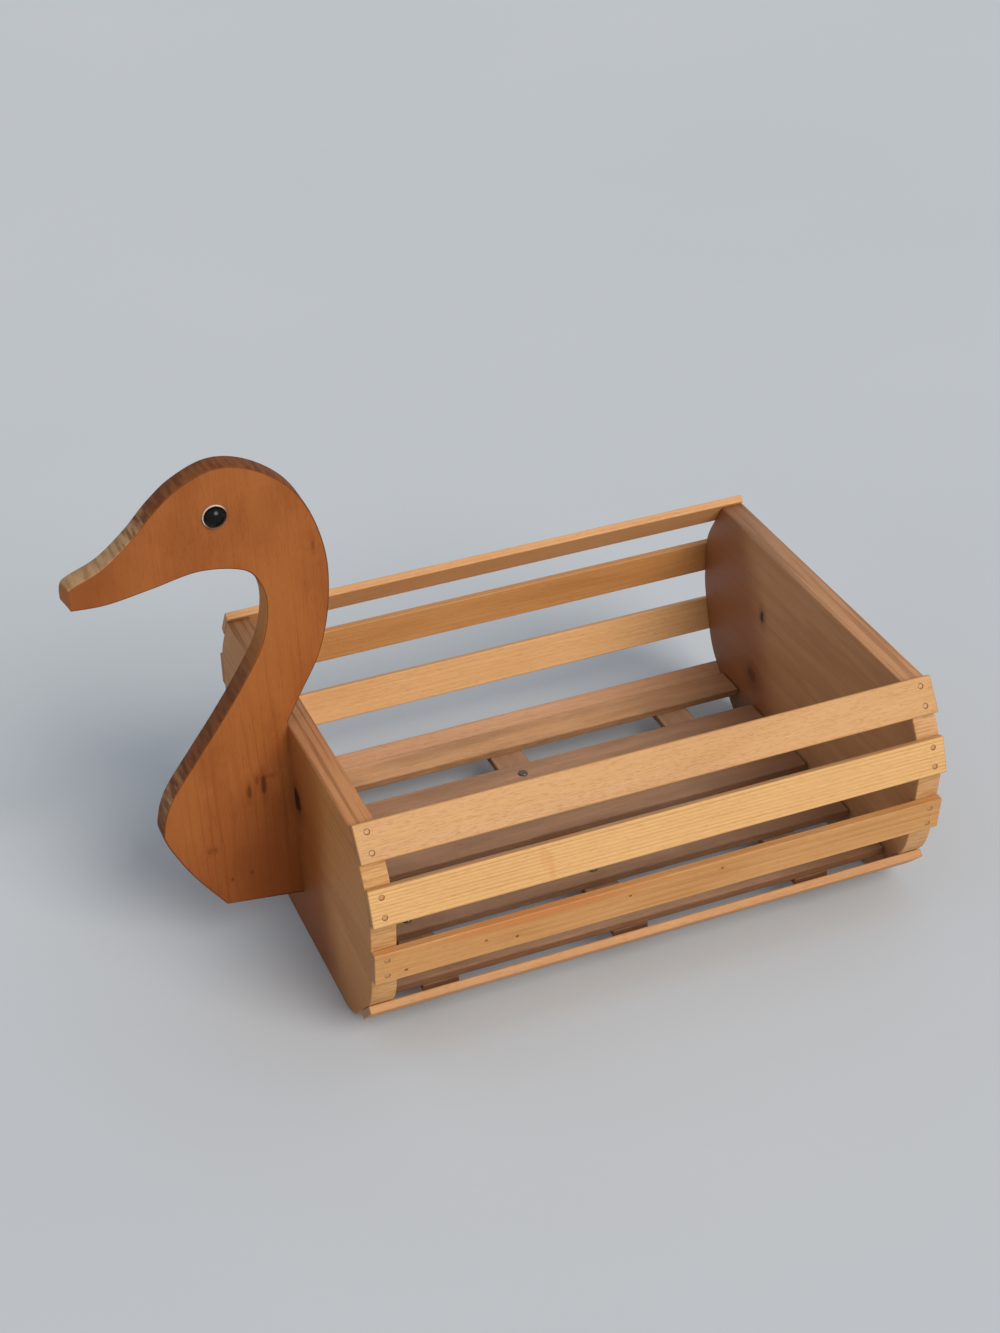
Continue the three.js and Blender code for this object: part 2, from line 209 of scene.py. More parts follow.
# %% Group: sawn timber
timber_tree, g, given = new_group(
    "sawn_timber",
    {
        "Position": "vector", "Pith": "vector", "Ring Width": "number", "Wander": "number",
        "Bulge": "number", "Seed": "number", "Early": "colour", "Late": "colour",
        "Late Start": "number", "Ring Depth": "number", "Streak Depth": "number", "Pore Depth": "number",
        "Blotch Depth": "number",
    },
    {"Color": "colour", "Height": "number", "Late Mask": "number"},
)
SEED_STEP = (0.731, 0.297, 0.113)
RING_UNEVENNESS = 0.9
LATE_FULL = 0.86
LATE_END = 0.90
STREAK_RELIEF = 0.5
PORE_RELIEF = 0.8
LATE_RELIEF = 0.35
PORE_TINT = (0.50, 0.36, 0.26, 1.0)
BLOTCH_TINT = (0.80, 0.70, 0.58, 1.0)

seed_shift = g.vector("MULTIPLY", g.join(given["Seed"], given["Seed"], given["Seed"]), SEED_STEP)
shifted = g.vector("ADD", given["Position"], seed_shift)
drift = g.minus(g.noise(shifted, (4.0, 34.0, 34.0)), 0.5)
from_pith = g.parts(g.vector("SUBTRACT", given["Position"], given["Pith"]))
wandered = g.times(drift, given["Wander"])
radius = g.vector("LENGTH", g.join(0.0, from_pith["Y"], from_pith["Z"]))
radius = g.plus(g.plus(radius, wandered), given["Bulge"])
uneven = g.times(g.noise(shifted, (1.5, 110.0, 110.0)), RING_UNEVENNESS)
phase = g.plus(g.math("DIVIDE", radius, given["Ring Width"]), uneven)
along_ring = g.math("FRACT", phase)
rise = g.ease(along_ring, given["Late Start"], LATE_FULL)
fall = g.ease(along_ring, LATE_END, 1.0, 1.0, 0.0)
ring_number = g.math("FLOOR", phase)
year = g.node("ShaderNodeTexWhiteNoise", {"W": g.plus(ring_number, given["Seed"])},
              noise_dimensions="1D").outputs["Value"]
strength = g.ease(g.noise(shifted, (9.0, 30.0, 30.0)), 0.32, 0.68, 0.45, 1.0)
year_strength = g.times(g.ease(year, 0.0, 1.0, 0.45, 1.0), strength)
late = g.times(g.times(rise, fall), year_strength)
streak = g.patches(shifted, (22.0, 900.0, 900.0), 0.32, 0.70, detail=4.0)
pore = g.patches(shifted, (160.0, 3200.0, 3200.0), 0.60, 0.74, detail=1.0)
blotch = g.patches(shifted, (7.0, 22.0, 22.0), 0.38, 0.72, detail=3.0)
late_share = g.times(late, given["Ring Depth"])
streak_share = g.times(streak, given["Streak Depth"])
wood = g.mix(late_share, given["Early"], given["Late"])
wood = g.mix(streak_share, wood, given["Late"])
pored = g.mix(1.0, wood, PORE_TINT, "MULTIPLY")
wood = g.mix(g.times(pore, given["Pore Depth"]), wood, pored)
blotched = g.mix(1.0, wood, BLOTCH_TINT, "MULTIPLY")
wood = g.mix(g.times(blotch, given["Blotch Depth"]), wood, blotched)
relief = g.minus(g.times(streak, STREAK_RELIEF), g.times(pore, PORE_RELIEF))
relief = g.plus(relief, g.times(late, LATE_RELIEF))
close_group(timber_tree, {"Color": wood, "Height": relief, "Late Mask": late})

# %% [markdown]
# ## Knots
# A knot is a branch that the saw cut through. It has a dark heart and a warm halo, and the rings bend round
# it. The group gives the heart and the halo as masks, and a bulge that the timber group adds to its radius.
# Two helpers then set a whole list of knots in a material and paint them.

# %% Group: knot mark
knot_tree, g, given = new_group(
    "knot_mark",
    {"Position": "vector", "Centre": "vector", "Reach": "vector", "Seed": "number"},
    {"Heart": "number", "Halo": "number", "Bulge": "number"},
)
KNOT_RAGGEDNESS = 0.9
KNOT_BULGE = 6 * MM
BULGE_REACH = 3.6
offset = g.vector("DIVIDE", g.vector("SUBTRACT", given["Position"], given["Centre"]), given["Reach"])
ragged_at = g.vector("ADD", given["Position"], g.join(given["Seed"], 0.0, 0.0))
ragged = g.times(g.minus(g.noise(ragged_at, (260.0, 260.0, 260.0)), 0.5), KNOT_RAGGEDNESS)
spread = g.plus(g.vector("LENGTH", offset), ragged)
heart = g.ease(spread, 0.70, 1.10, 1.0, 0.0)
halo = g.ease(spread, 0.80, 2.80, 1.0, 0.0)
bulge = g.ease(g.vector("LENGTH", offset), 0.0, BULGE_REACH, KNOT_BULGE, 0.0)
close_group(knot_tree, {"Heart": heart, "Halo": halo, "Bulge": bulge})


def place_knots(graph, place, rows):
    """Knots from rows of (centre, reach, seed, bend), and the bulge that they give the rings together."""
    bulge = 0.0
    knots = []
    for centre, reach, seed, bend in rows:
        inputs = {"Position": place, "Centre": centre, "Reach": reach, "Seed": seed}
        knot = place_group(graph, knot_tree, inputs)
        bulge = graph.plus(graph.times(knot["Bulge"], bend), bulge)
        knots.append(knot)
    return knots, bulge


def paint_knots(graph, colour, knots, depths, halo_tone, heart_tone):
    """The colour with a halo and a dark heart for each knot, as deep as its (halo, heart) pair says."""
    for knot, (halo_depth, heart_depth) in zip(knots, depths):
        colour = graph.tint(colour, knot["Halo"], halo_tone, share=halo_depth)
        colour = graph.tint(colour, knot["Heart"], heart_tone, share=heart_depth)
    return colour


# %% [markdown]
# ## Rubbed edges
# Hands, soil and the plane leave the edges of a slat darker than its face. The distance to the edge is
# known, because each bar is a plain box in its own coordinates, so no curvature trick is needed.

# %% Group: rubbed edges of a bar
rub_tree, g, given = new_group(
    "rubbed_edges",
    {"Position": "vector", "Half Size": "vector", "Width": "number", "Seed": "number"},
    {"Edge": "number", "End": "number"},
)
END_REACH = 0.9 * MM
left_over = g.parts(g.vector("SUBTRACT", given["Half Size"], g.vector("ABSOLUTE", given["Position"])))
broken_at = g.vector("ADD", given["Position"], g.join(given["Seed"], given["Seed"], 0.0))
broken = g.times(g.noise(broken_at, (60.0, 300.0, 300.0)), given["Width"])
edge_room = g.plus(g.math("MINIMUM", left_over["X"], left_over["Z"]), broken)
edge = g.ease(g.math("DIVIDE", edge_room, given["Width"]), 0.35, 1.30, 1.0, 0.0)
end = g.ease(left_over["X"], 0.0, END_REACH, 1.0, 0.0)
close_group(rub_tree, {"Edge": edge, "End": end})

# %% [markdown]
# ## Sawn edges of a board
# The head and the panels are cut to a curve, so their edges show end grain, saw marks and deeper stain. A
# point is on such an edge where the surface no longer faces along the board's thickness. The rounded arris
# between face and edge has a mask of its own, because stain gathers there.

# %% Group: sawn edges of a board
sawn_tree, g, given = new_group(
    "sawn_edges",
    {"Position": "vector", "Normal": "vector", "Face Axis": "vector", "Mark Stretch": "vector"},
    {"Edge": "number", "Arris": "number", "Saw Marks": "number"},
)
facing = g.math("ABSOLUTE", g.vector("DOT_PRODUCT", given["Normal"], given["Face Axis"]))
edge = g.ease(facing, 0.45, 0.92, 1.0, 0.0)
arris = g.ease(facing, 0.90, 0.995, 1.0, 0.0)
marks = g.patches(given["Position"], given["Mark Stretch"], 0.36, 0.66, detail=3.0)
close_group(sawn_tree, {"Edge": edge, "Arris": arris, "Saw Marks": marks})

# %% [markdown]
# ## A material to start from
# Every wood here has a satin varnish, so one function sets up the shader and the bump. The varnish is
# thinner on the front panel and the swan board, so its gloss can be given. What changes over the surface
# comes in as links, and what is the same all over is set on the shader's sockets.

# %% Shared start of a material
VARNISH_COAT = 0.06
VARNISH_COAT_ROUGHNESS = 0.35
VARNISH_SPECULAR = 0.28
WOOD_BUMP = 0.55


def start_material(name):
    material = bpy.data.materials.new(name)
    material.use_nodes = True
    tree = material.node_tree
    tree.nodes.clear()
    shader = tree.nodes.new("ShaderNodeBsdfPrincipled")
    output = tree.nodes.new("ShaderNodeOutputMaterial")
    tree.links.new(shader.outputs["BSDF"], output.inputs["Surface"])
    coordinates = tree.nodes.new("ShaderNodeTexCoord").outputs
    return material, Graph(tree), shader, coordinates


def paint(graph, shader, colour, roughness):
    graph.fill(shader.inputs["Base Color"], colour)
    graph.fill(shader.inputs["Roughness"], roughness)


def finish_wood(graph, shader, colour, roughness, height, depth,
                specular=VARNISH_SPECULAR, coat=VARNISH_COAT):
    bump = graph.node("ShaderNodeBump", {"Height": height, "Strength": WOOD_BUMP, "Distance": depth})
    paint(graph, shader, colour, roughness)
    graph.fill(shader.inputs["Normal"], bump.outputs["Normal"])
    shader.inputs["Specular IOR Level"].default_value = specular
    shader.inputs["Coat Weight"].default_value = coat
    shader.inputs["Coat Roughness"].default_value = VARNISH_COAT_ROUGHNESS


# %% [markdown]
# ## Varnished pine for slats
# All the slats are the same strip pine, but each was cut from another place in the tree, so its rings, tone
# and flaws differ; the darker tone of right_slat_2 is partly painted shade. One function makes the finish,
# and each row of slats calls it with its own values.


# %% Material: slat pine
SLAT_RUB_WIDTH = 1.4 * MM
SLAT_RELIEF = 0.22 * MM


def slat_pine(name, half_size, lean, seed, early, late, pith, ring_width, wander, ring_depth, streak,
              blotch, late_start=0.25, flaws=()):
    """Pine for one slat. Flaws are rows of (centre, reach, heart depth, halo depth)."""
    material, graph, shader, coordinates = start_material(name)
    unleaned = {"Vector": coordinates["Object"], "Angle": -lean}
    place = graph.node("ShaderNodeVectorRotate", unleaned, rotation_type="X_AXIS").outputs["Vector"]
    rows = [(centre, reach, seed, heart) for centre, reach, heart, halo in flaws]
    depths = [(halo, heart) for centre, reach, heart, halo in flaws]
    knots, bulge = place_knots(graph, place, rows)
    timber = place_group(graph, timber_tree, {
        "Position": place, "Pith": pith, "Ring Width": ring_width, "Wander": wander, "Bulge": bulge,
        "Seed": seed, "Early": early, "Late": late, "Late Start": late_start, "Ring Depth": ring_depth,
        "Streak Depth": streak, "Pore Depth": 0.25, "Blotch Depth": blotch,
    })
    rub = place_group(graph, rub_tree, {
        "Position": place, "Half Size": half_size, "Width": SLAT_RUB_WIDTH, "Seed": seed,
    })
    colour = paint_knots(graph, timber["Color"], knots, depths, tone(190, 112, 50), tone(72, 40, 22))
    colour = graph.tint(colour, rub["Edge"], tone(170, 112, 62), share=0.30)
    colour = graph.tint(colour, rub["End"], tone(140, 92, 54), share=0.55)
    roughness = graph.ease(timber["Late Mask"], 0.0, 1.0, 0.52, 0.42)
    finish_wood(graph, shader, colour, roughness, timber["Height"], SLAT_RELIEF)
    return material


# %% [markdown]
# ## Measures of the tub
# The imported solids give the sizes: the panels say how long and how high the tub is, and a floor slat says
# what strip the slats are made of. Only the lean of each row has to be written again.

# %% Tub measures from the imported solids
front_low, front_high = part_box("front_panel")
rear_low, rear_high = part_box("rear_panel")
floor_low, floor_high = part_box("floor_slat_3")
FRONT_FACE = front_low.x
REAR_FACE = rear_high.x
PANEL_TOP = front_high.z
PANEL_THICKNESS = front_high.x - front_low.x
TUB_LENGTH = REAR_FACE - FRONT_FACE
SLAT_WIDTH = floor_high.y - floor_low.y
SLAT_THICKNESS = floor_high.z - floor_low.z
ROW_LEANS = {
    "left": [math.radians(lean) for lean in (34, 17, -8, -45)],
    "right": [math.radians(lean) for lean in (36, 4, -15, -48)],
}
SLAT_EASE = 0.95 * MM
print("tub length:", round(TUB_LENGTH / MM, 1), "slat:", round(SLAT_WIDTH / MM, 1), "x",
      round(SLAT_THICKNESS / MM, 1))

# %% [markdown]
# ## Ways to make a piece
# Three ways make nearly everything: a bar with eased edges, a board sawn to an outline and a turned piece.
# A bar could be a cube with a bevel modifier, but bevelling it in bmesh leaves a plain mesh with nothing to
# apply. A board is lofted through thin layers, so its arris is round and its faces stay flat.


# %% Bars, boards and turned pieces
EASE_STEPS = 3
MITRE_LIMIT = 0.5


def plain_box(size):
    shape = bmesh.new()
    bmesh.ops.create_cube(shape, size=1.0)
    bmesh.ops.scale(shape, vec=size, verts=shape.verts)
    return shape


def eased_bar(size, ease):
    shape = plain_box(size)
    bmesh.ops.bevel(
        shape, geom=shape.edges[:], offset=ease, segments=EASE_STEPS, profile=0.5, affect="EDGES",
    )
    return shape


def inset_outline(points, depth):
    moved = []
    for index, point in enumerate(points):
        before = (point - points[index - 1]).normalized()
        after = (points[(index + 1) % len(points)] - point).normalized()
        normal_before = Vector((-before.y, before.x))
        normal_after = Vector((-after.y, after.x))
        normal = (normal_before + normal_after).normalized()
        moved.append(point + normal * depth / max(normal.dot(normal_after), MITRE_LIMIT))
    return moved


def sawn_board(outline, thickness, ease, to_space, steps=4):
    """A board from an outline that runs anticlockwise. to_space takes (across, up, depth) to a place."""
    layers = []
    for side in (-1, 1):
        turns = range(steps + 1) if side < 0 else range(steps, -1, -1)
        for turn in turns:
            angle = turn / steps * math.pi / 2
            depth = side * (thickness / 2 - ease + ease * math.cos(angle))
            layers.append((depth, ease * (1 - math.sin(angle))))
    shape = bmesh.new()
    rings = []
    for depth, inset in layers:
        ring = inset_outline(outline, inset)
        rings.append([shape.verts.new(to_space(point.x, point.y, depth)) for point in ring])
    for lower, upper in zip(rings, rings[1:]):
        for index in range(len(outline)):
            after = (index + 1) % len(outline)
            face = shape.faces.new((lower[index], lower[after], upper[after], upper[index]))
            face.smooth = True
    shape.faces.new(rings[0][::-1])
    shape.faces.new(rings[-1])
    bmesh.ops.recalc_face_normals(shape, faces=shape.faces[:])
    return shape


def turned(profile, steps):
    """A piece turned about Y from (radius, along) points that start and end on the axis."""
    shape = bmesh.new()
    rings = []
    for radius, along in profile:
        if radius == 0:
            rings.append([shape.verts.new((0.0, along, 0.0))])
            continue
        angles = [2 * math.pi * step / steps for step in range(steps)]
        rings.append([shape.verts.new((radius * math.cos(a), along, radius * math.sin(a))) for a in angles])
    for lower, upper in zip(rings, rings[1:]):
        for step in range(steps):
            after = (step + 1) % steps
            corners = [lower[step % len(lower)], lower[after % len(lower)]]
            corners += [upper[after % len(upper)], upper[step % len(upper)]]
            face = shape.faces.new(list(dict.fromkeys(corners)))
            face.smooth = True
    bmesh.ops.recalc_face_normals(shape, faces=shape.faces[:])
    return shape


def new_mesh(name, shape):
    mesh = bpy.data.meshes.new(name)
    shape.to_mesh(mesh)
    shape.free()
    return mesh


def add_piece(name, shape, material, nodes=(), place=None):
    piece = new_object(name, new_mesh(name, shape))
    piece.data.materials.append(material)
    if place is not None:
        piece.matrix_world = place
    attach(piece, "root")
    if nodes:
        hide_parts(*nodes)
    return piece


def bore(piece, cutter_shape):
    """Cuts a shape, given in the piece's own coordinates, out of the piece."""
    cutter = new_object("cutter", new_mesh("cutter", cutter_shape))
    cutter.matrix_world = piece.matrix_world
    cut = piece.modifiers.new("bore", "BOOLEAN")
    cut.object = cutter
    cut.solver = "EXACT"
    bpy.context.view_layer.update()
    evaluated = piece.evaluated_get(bpy.context.evaluated_depsgraph_get())
    result = bpy.data.meshes.new_from_object(evaluated)
    piece.modifiers.clear()
    piece.data = result
    bpy.data.objects.remove(cutter)


# %% [markdown]
# ## Side slats
# Four slats a side run over the edges of both panels. They have to sit exactly where the solids are: the
# middle of a solid's box is the middle of the slat, even when it leans, so the box and the lean place it.
# Each slat end has two nails, whose heads are driven just under the surface.

# %% Looks of the side slats
slat_half = Vector((TUB_LENGTH, SLAT_THICKNESS, SLAT_WIDTH)) / 2
FLAT_SAWN = (0.0, -0.085, 0.004)
UPRIGHT_GRAIN = (0.0, 0.010, 0.110)
SLANTED_GRAIN = (0.0, -0.030, 0.036)
SLAT_LOOKS = {
    "left_slat_1": dict(early=tone(199, 150, 96), late=tone(164, 112, 64), pith=FLAT_SAWN,
                        ring_width=0.0052, wander=0.006, ring_depth=0.24, streak=0.28, blotch=0.35),
    "left_slat_2": dict(early=tone(217, 170, 111), late=tone(166, 110, 54), pith=UPRIGHT_GRAIN,
                        ring_width=0.0026, wander=0.0045, late_start=0.40, ring_depth=0.75,
                        streak=0.14, blotch=0.22),
    "left_slat_3": dict(early=tone(202, 150, 92), late=tone(163, 100, 48), pith=SLANTED_GRAIN,
                        ring_width=0.0046, wander=0.008, ring_depth=0.34, streak=0.30, blotch=0.55),
    "left_slat_4": dict(early=tone(200, 149, 97), late=tone(160, 104, 58), pith=SLANTED_GRAIN,
                        ring_width=0.0042, wander=0.006, ring_depth=0.40, streak=0.24, blotch=0.40),
    "right_slat_1": dict(early=tone(222, 170, 116), late=tone(184, 124, 72), pith=SLANTED_GRAIN,
                         ring_width=0.0040, wander=0.005, ring_depth=0.36, streak=0.24, blotch=0.35),
    # right_slat_2 is darker and more orange: partly its own tone, partly painted shade.
    "right_slat_2": dict(early=tone(197, 143, 87), late=tone(158, 99, 51), pith=FLAT_SAWN,
                         ring_width=0.0056, wander=0.008, ring_depth=0.30, streak=0.28, blotch=0.40),
    "right_slat_3": dict(early=tone(216, 169, 116), late=tone(180, 122, 70), pith=UPRIGHT_GRAIN,
                         ring_width=0.0034, wander=0.003, late_start=0.30, ring_depth=0.30,
                         streak=0.20, blotch=0.35),
    "right_slat_4": dict(early=tone(196, 149, 110), late=tone(160, 107, 70), pith=SLANTED_GRAIN,
                         ring_width=0.0044, wander=0.006, ring_depth=0.36, streak=0.26, blotch=0.40),
}
DOT = (0.0013, 0.02, 0.0010)
SLAT_FLAWS = {
    "left_slat_2": [((0.089, 0.003, 0.005), (0.0018, 0.02, 0.0042), 0.0, 0.22),
                    ((0.085, 0.003, -0.005), (0.0012, 0.02, 0.0050), 0.0, 0.24)],
    "left_slat_3": [((0.188, 0.003, -0.006), DOT, 0.8, 0.3), ((0.132, 0.003, 0.000), DOT, 0.7, 0.3),
                    ((0.110, 0.003, -0.004), DOT, 0.8, 0.4), ((0.028, 0.003, 0.004), DOT, 0.8, 0.3),
                    ((-0.040, 0.003, 0.006), DOT, 0.7, 0.3),
                    ((0.095, 0.003, 0.011), (0.0400, 0.02, 0.0022), 0.0, 0.60)],
}
print("looks for side slats:", len(SLAT_LOOKS))

# %% Side slats and their nail recesses
NAIL_SPREAD = 14 * MM
NAIL_SINK = 0.2 * MM
NAIL_HEAD_RADIUS = 2.0 * MM
NAIL_HEAD_HEIGHT = 0.8 * MM
RECESS_DEPTH = 1.2 * MM
RECESS_RADIUS = 2.1 * MM
ROUND_STEPS = 24
SEEDS = {"left": 1.7, "right": 5.7}


def slat_place(side, row):
    low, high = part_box(f"{side}_slat_{row + 1}")
    turn = Matrix.Rotation(math.pi, 4, "Z") if side == "left" else Matrix()
    return Matrix.Translation((low + high) / 2) @ turn


def slat_lean(side, row):
    return Matrix.Rotation(ROW_LEANS[side][row], 4, "X")


nail_spots = [
    Vector((end * (TUB_LENGTH - PANEL_THICKNESS) / 2, SLAT_THICKNESS / 2, level * NAIL_SPREAD / 2))
    for end in (-1, 1) for level in (-1, 1)
]


def recess_cutters():
    shape = bmesh.new()
    for spot in nail_spots:
        turn = Matrix.Rotation(math.pi / 2, 4, "X")
        bmesh.ops.create_cone(
            shape, cap_ends=True, segments=ROUND_STEPS, radius1=RECESS_RADIUS, radius2=RECESS_RADIUS,
            depth=2 * RECESS_DEPTH, matrix=Matrix.Translation(spot) @ turn,
        )
    return shape


slat_count = 0
for side in ("left", "right"):
    for row, lean in enumerate(ROW_LEANS[side]):
        name = f"{side}_slat_{row + 1}"
        look = SLAT_LOOKS[name]
        flaws = SLAT_FLAWS.get(name, ())
        finish = slat_pine(f"pine_{name}", slat_half, lean, SEEDS[side] + row, flaws=flaws, **look)
        bar = eased_bar((TUB_LENGTH, SLAT_THICKNESS, SLAT_WIDTH), SLAT_EASE)
        slat = add_piece(f"{name}_strip", bar, finish, [name], slat_place(side, row))
        bore(slat, recess_cutters())
        slat.data.transform(slat_lean(side, row))
        slat_count += 1
print("side slats made:", slat_count)

# %% [markdown]
# ## Nails and screws
# The floor nails and the screws are dull steel that has gone a little brown. Rust is patchy, so a noise
# mixes bare metal with a brown film, and both the colour and the roughness follow it. The small heads in
# the side slats were varnished over with the wood, so they take its colour and only their rims stay dark.


# %% Materials of nails and screws
def nail_steel():
    material, graph, shader, coordinates = start_material("nail_steel_dull")
    film = graph.patches(coordinates["Object"], (700.0, 700.0, 700.0), 0.42, 0.60, detail=3.0)
    colour = graph.mix(film, tone(118, 118, 120), tone(92, 76, 64))
    paint(graph, shader, colour, graph.ease(film, 0.0, 1.0, 0.38, 0.70))
    graph.fill(shader.inputs["Metallic"], graph.ease(film, 0.0, 1.0, 0.85, 0.25))
    bump = graph.node("ShaderNodeBump", {"Height": film, "Strength": 0.3, "Distance": 0.1 * MM})
    graph.fill(shader.inputs["Normal"], bump.outputs["Normal"])
    return material


def nail_varnished():
    material, graph, shader, coordinates = start_material("nail_varnished_over")
    place = coordinates["Object"]
    axes = graph.parts(place)
    from_middle = graph.vector("LENGTH", graph.join(axes["X"], 0.0, axes["Z"]))
    rim = graph.ease(from_middle, 1.3 * MM, NAIL_HEAD_RADIUS)
    patch = graph.patches(place, (600.0, 600.0, 600.0), 0.40, 0.65, detail=2.0)
    colour = graph.mix(patch, tone(186, 138, 88), tone(163, 115, 70))
    colour = graph.tint(colour, rim, tone(122, 78, 46), share=0.6)
    paint(graph, shader, colour, graph.ease(patch, 0.0, 1.0, 0.40, 0.55))
    return material


steel = nail_steel()
varnished = nail_varnished()
print("nail materials:", steel.name, varnished.name)


# %% Shape of a nail
NAIL_POINT = 2.5 * MM


def nail_shape(head_radius, head_height, shank_radius, length, dish=0.0):
    """A nail along Y, with the underside of its head at 0. A dish hollows the middle of the head."""
    return turned([
        (0, -length), (shank_radius, -length + NAIL_POINT), (shank_radius, 0), (head_radius, 0),
        (head_radius, head_height * 0.45), (head_radius * 0.9, head_height * 0.8),
        (head_radius * 0.7, head_height), (head_radius * 0.35, head_height - dish), (0, head_height - dish),
    ], ROUND_STEPS)


# %% Nails of the side slats
NAIL_SHANK_RADIUS = 0.9 * MM
NAIL_LENGTH = 19 * MM
NAIL_DISH = 0.2 * MM
seat = Vector((0, -NAIL_SINK - NAIL_HEAD_HEIGHT, 0))
nail_count = 0
for side in ("left", "right"):
    for row in range(len(ROW_LEANS[side])):
        for spot in nail_spots:
            at_front = (spot.x < 0) == (side == "right")
            end = "front" if at_front else "rear"
            level_name = "upper" if spot.z > 0 else "lower"
            node = f"{side}_slat_{row + 1}_nail_{end}_{level_name}"
            place = slat_place(side, row) @ slat_lean(side, row) @ Matrix.Translation(spot + seat)
            wire = nail_shape(NAIL_HEAD_RADIUS, NAIL_HEAD_HEIGHT, NAIL_SHANK_RADIUS, NAIL_LENGTH, NAIL_DISH)
            add_piece(f"{node}_wire", wire, varnished, [node], place)
            nail_count += 1
print("side nails made:", nail_count)

# %% [markdown]
# ## End panels
# The two panels are wide boards with the grain across the tub. Reddish heartwood lies behind the swan board
# on the front one and fades into tan sapwood; the rear one darkens to a reddish tone on the right of a
# steep line. Both panels are darker towards the foot.
# Their outline is flat under each slat and curves from seat to seat, so it is drawn with straight lines and
# quadratic curves, as it would be on the wood.


# %% Material: panel wood
PANEL_RELIEF = 0.25 * MM
KNOT_HALO_DEPTH = 0.5
HEART_WAVE = 50 * MM
HEART_MIDDLE = -5 * MM
HEART_LEAN = 0.32


def panel_wood(name, seed, early, late, heart, heart_share, reddish_zone_of, specular, coat, knots):
    material, graph, shader, coordinates = start_material(name)
    place = coordinates["Object"]
    axes = graph.parts(place)
    grain_place = graph.join(axes["Y"], axes["X"], axes["Z"])
    marks, bulge = place_knots(graph, place, [(centre, reach, seed, 1.0) for centre, reach, depth in knots])
    depths = [(KNOT_HALO_DEPTH, depth) for centre, reach, depth in knots]
    timber = place_group(graph, timber_tree, {
        "Position": grain_place, "Pith": (0.0, -0.09, 0.085), "Ring Width": 0.0062, "Wander": 0.022,
        "Bulge": bulge, "Seed": seed, "Early": early, "Late": late, "Late Start": 0.25, "Ring Depth": 0.40,
        "Streak Depth": 0.28, "Pore Depth": 0.30, "Blotch Depth": 0.35,
    })
    sawn = place_group(graph, sawn_tree, {
        "Position": place, "Normal": coordinates["Normal"], "Face Axis": (1.0, 0.0, 0.0),
        "Mark Stretch": (60.0, 700.0, 700.0),
    })
    wave = graph.minus(graph.noise(place, (9.0, 16.0, 9.0), detail=3.0), 0.5)
    wave = graph.times(wave, HEART_WAVE)
    reddish_zone = reddish_zone_of(graph, axes, wave)
    colour = graph.tint(timber["Color"], reddish_zone, heart, share=heart_share)
    # The colour darkens towards the foot of each panel.
    darker_foot = graph.ease(graph.plus(axes["Z"], wave), 0.0, 0.070, 1.0, 0.0)
    colour = graph.tint(colour, darker_foot, tone(112, 68, 36), share=0.40)
    colour = paint_knots(graph, colour, marks, depths, tone(112, 62, 34), tone(40, 16, 6))
    end_grain = graph.ease(graph.math("ABSOLUTE", graph.parts(coordinates["Normal"])["Y"]), 0.35, 0.70)
    end_colour = graph.mix(sawn["Saw Marks"], tone(206, 160, 108), tone(182, 132, 82))
    colour = graph.tint(colour, end_grain, end_colour, share=0.85)
    long_edge = graph.times(sawn["Edge"], graph.ease(end_grain, 0.0, 1.0, 1.0, 0.0))
    lines = graph.patches(place, (330.0, 7.0, 60.0), 0.48, 0.62, detail=3.0)
    long_colour = graph.tint(tone(172, 122, 86), lines, tone(116, 72, 46), share=0.7)
    colour = graph.tint(colour, long_edge, long_colour, share=0.75)
    roughness = graph.ease(sawn["Edge"], 0.0, 1.0, 0.48, 0.62)
    height = graph.plus(timber["Height"], graph.times(end_grain, sawn["Saw Marks"]))
    finish_wood(graph, shader, colour, roughness, height, PANEL_RELIEF, specular, coat)
    return material


def front_heartwood(graph, axes, wave):
    """Heartwood on both sides of the swan board, a little weaker along the top."""
    from_board = graph.math("ABSOLUTE", graph.minus(axes["Y"], HEART_MIDDLE))
    zone = graph.ease(graph.plus(from_board, wave), 0.030, 0.100, 1.0, 0.0)
    return graph.times(zone, graph.ease(axes["Z"], 0.115, 0.165, 1.0, 0.7))


def rear_dark_zone(graph, axes, wave):
    """A darker reddish zone on the right of a steep line, deepest on the inner face."""
    # The rear panel darkens to a reddish tone beyond a steep line, and less so on its outer face.
    leaning = graph.minus(axes["Y"], graph.times(axes["Z"], HEART_LEAN))
    zone = graph.ease(graph.plus(leaning, wave), 0.008, 0.060)
    return graph.times(zone, graph.ease(axes["X"], rear_low.x, rear_high.x, 1.0, 0.3))


# %% Panel outline
FOOT_ROUND = 16 * MM
PANEL_EASE = 1.2 * MM
CURVE_STEPS = 14
SEAT_GAP = 0.3 * MM


def seat_middle(side, row):
    """Middle of a row's seat on the edge of a panel, as (out, up)."""
    low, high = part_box(f"{side}_slat_{row + 1}")
    middle = (low + high) / 2
    lean = ROW_LEANS[side][row]
    outward = Vector((math.cos(lean), math.sin(lean)))
    return Vector((abs(middle.y), middle.z)) - outward * (SEAT_GAP + SLAT_THICKNESS / 2)


def seat_direction(side, row):
    lean = ROW_LEANS[side][row]
    return Vector((-math.sin(lean), math.cos(lean)))


def at_height(side, row, height):
    along = seat_direction(side, row)
    middle = seat_middle(side, row)
    return middle + along * (height - middle.y) / along.y


def crossing(side, first, second):
    along = seat_direction(side, first)
    other = seat_direction(side, second)
    gap = seat_middle(side, second) - seat_middle(side, first)
    share = (gap.x * other.y - gap.y * other.x) / (along.x * other.y - along.y * other.x)
    return seat_middle(side, first) + along * share


def curve_points(start, bend, end):
    steps = [step / CURVE_STEPS for step in range(1, CURVE_STEPS + 1)]
    return [start * (1 - t) ** 2 + bend * 2 * t * (1 - t) + end * t ** 2 for t in steps]


